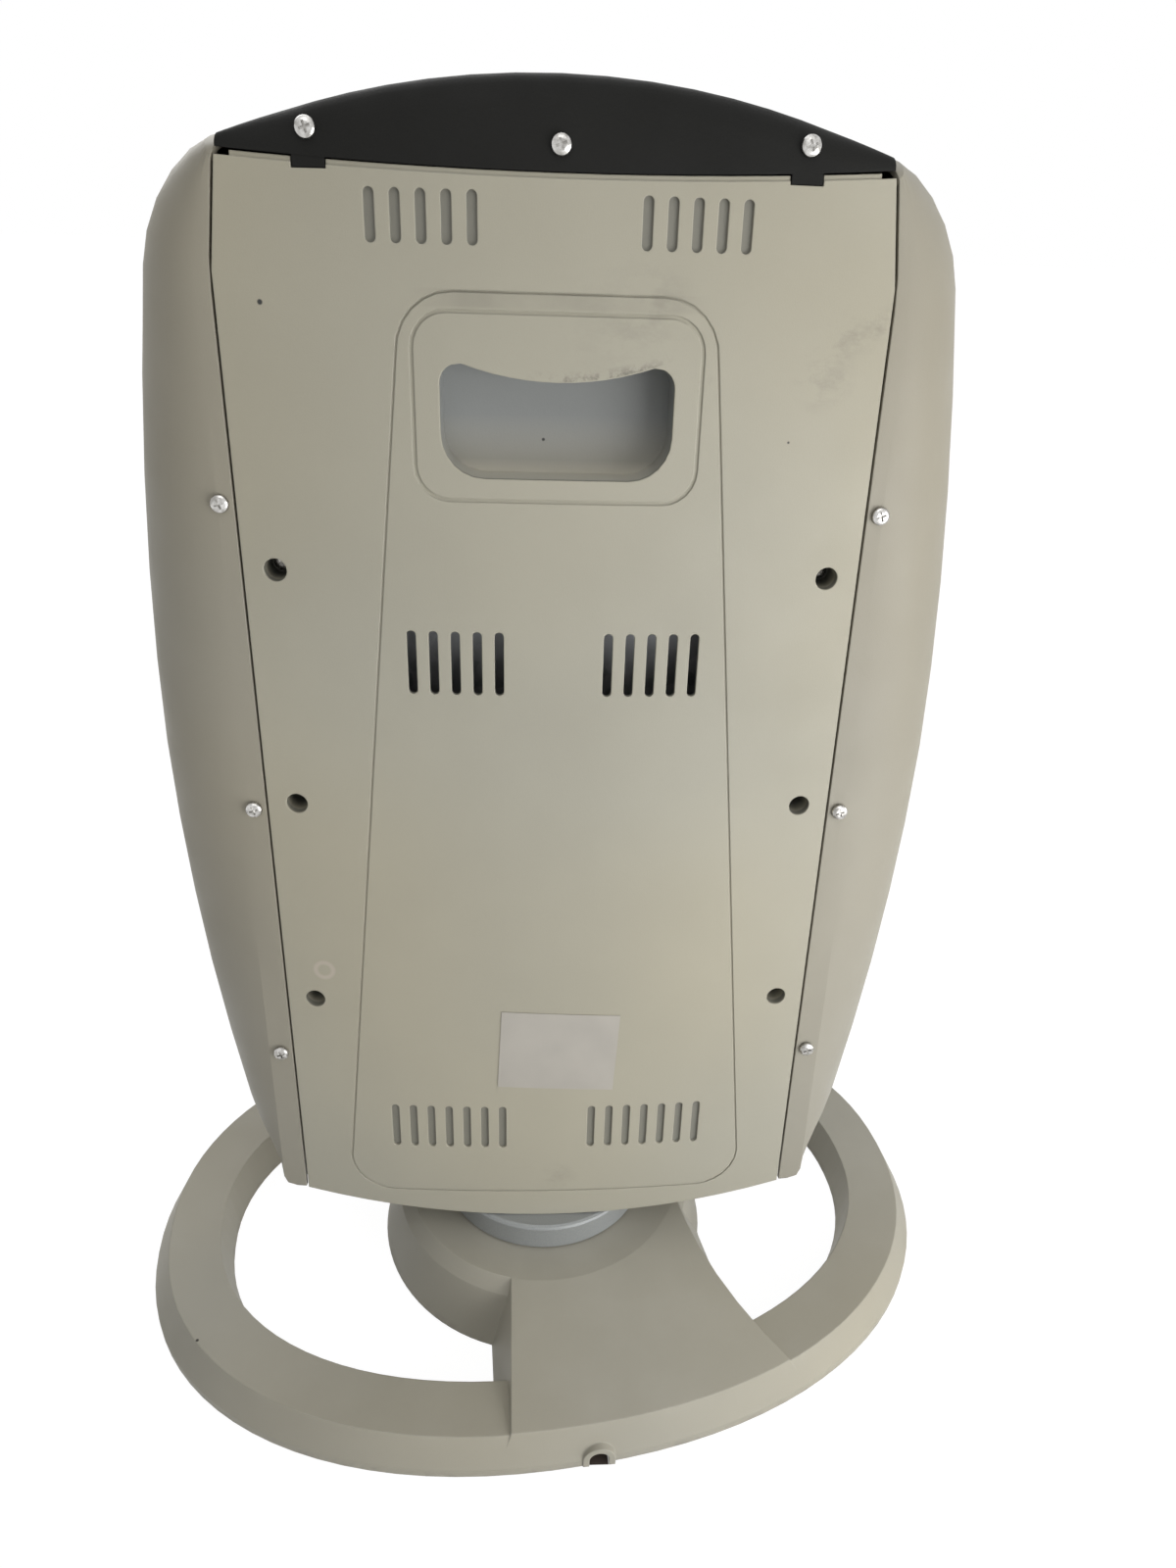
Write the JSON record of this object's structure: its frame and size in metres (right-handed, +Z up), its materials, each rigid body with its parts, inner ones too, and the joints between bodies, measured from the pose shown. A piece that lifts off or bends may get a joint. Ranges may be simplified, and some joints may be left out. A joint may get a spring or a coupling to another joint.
{
  "type": "halogen heater",
  "caption": "Free-standing halogen heater whose shield-shaped head swings on an oval ring base with two bridges, with a moulded back and a recessed handle.",
  "frame": {"origin": "on the floor, on the head's swivel axis, at the centre of the oval base", "axes": "+Z up; -Y is the front, where the grille is; +X runs along the head's width, to the right seen from the front"},
  "size_m": [0.4804, 0.3416, 0.631],
  "materials": {
    "base_moulding": "finely textured warm grey moulding",
    "base_plate": "dark moulding",
    "rubber": "matt",
    "screw_steel": "bright zinc plating",
    "nylon": "natural nylon",
    "black_housing": "moulded housing",
    "plunger_red": "moulded",
    "collar_silver": "silver-grey paint with a soft sheen",
    "spring_steel": "plain steel",
    "motor_zinc": "zinc-plated can",
    "chassis_steel": "galvanised sheet",
    "panel_moulding": "finely textured warm grey moulding",
    "side_moulding": "finely textured warm grey moulding",
    "cup_moulding": "smooth cool grey moulding",
    "blank_label": "blank foil with a soft gloss",
    "charcoal": "textured black moulding",
    "guard_wire": "bright plated wire",
    "polished_sheet": "polished aluminium sheet",
    "quartz": "clear quartz",
    "tungsten": "dull metal",
    "ceramic": "white ceramic with a satin surface",
    "knob_black": "moulded",
    "button_grey": "moulded",
    "lamp_amber": "tinted lens",
    "phenolic": "brown moulding"
  },
  "bodies": {
    "base": {"base_shell": "base_moulding", "base_plate": "base_plate", "rubber_feet": "rubber", "base_screws": "screw_steel", "slide_ring": "nylon", "fixed_gear": "nylon", "gear_screws": "screw_steel", "tip_switch": "black_housing"},
    "plunger": {"tip_plunger": "plunger_red"},
    "pinion": {"drive_pinion": "nylon"},
    "knob": {"heat_knob": "knob_black", "selector_shaft": "spring_steel"},
    "button": {"swing_button": "button_grey"},
    "head": {"swivel_collar": "collar_silver", "spindle_clip": "spring_steel", "swing_motor": "motor_zinc", "collar_screws": "screw_steel", "chassis": "chassis_steel", "head_floor": "panel_moulding", "rear_panel": "panel_moulding", "left_shell": "side_moulding", "right_shell": "side_moulding", "shell_pillars": "spring_steel", "handle_cup": "cup_moulding", "rating_plate": "blank_label", "top_cap": "charcoal", "control_fascia": "charcoal", "front_bezel": "panel_moulding", "bezel_screws": "screw_steel", "guard_grille": "guard_wire", "reflector": "polished_sheet", "lower_bracket": "chassis_steel", "upper_bracket": "chassis_steel", "quartz_tubes": "quartz", "filaments": "tungsten", "ceramic_ends": "ceramic", "cap_screws": "screw_steel", "side_screws": "screw_steel", "panel_screws": "screw_steel", "selector_switch": "black_housing", "swing_switch": "black_housing", "power_lamp": "lamp_amber", "terminal_block": "ceramic", "thermal_cutout": "phenolic"}
  },
  "joints": [
    {"name": "head_swivel", "type": "hinge", "parent": "base", "child": "head", "pos_m": [0, 0, 0.042], "axis": [0, 0, 1], "range_deg": [-34, 42]},
    {"name": "pinion_spin", "type": "hinge", "parent": "head", "child": "pinion", "pos_m": [0.0297, -0.0297, 0.045], "axis": [0, 0, 1], "range_deg": [-160, 160]},
    {"name": "heat_knob_turn", "type": "hinge", "parent": "head", "child": "knob", "pos_m": [0, -0.08, 0.572], "axis": [0, 1, 0], "range_deg": [0, 270]},
    {"name": "swing_button_press", "type": "slide", "parent": "head", "child": "button", "axis": [0, 1, 0], "range_m": [0, 0.003], "stiffness_N_per_m": 300},
    {"name": "tip_plunger_drop", "type": "slide", "parent": "base", "child": "plunger", "axis": [0, 0, -1], "range_m": [0, 0.005], "stiffness_N_per_m": 60, "springref_m": 0.005}
  ],
  "couplings": [
    {"joint": "pinion_spin", "follows": "head_swivel", "ratio": 3.6667}
  ]
}
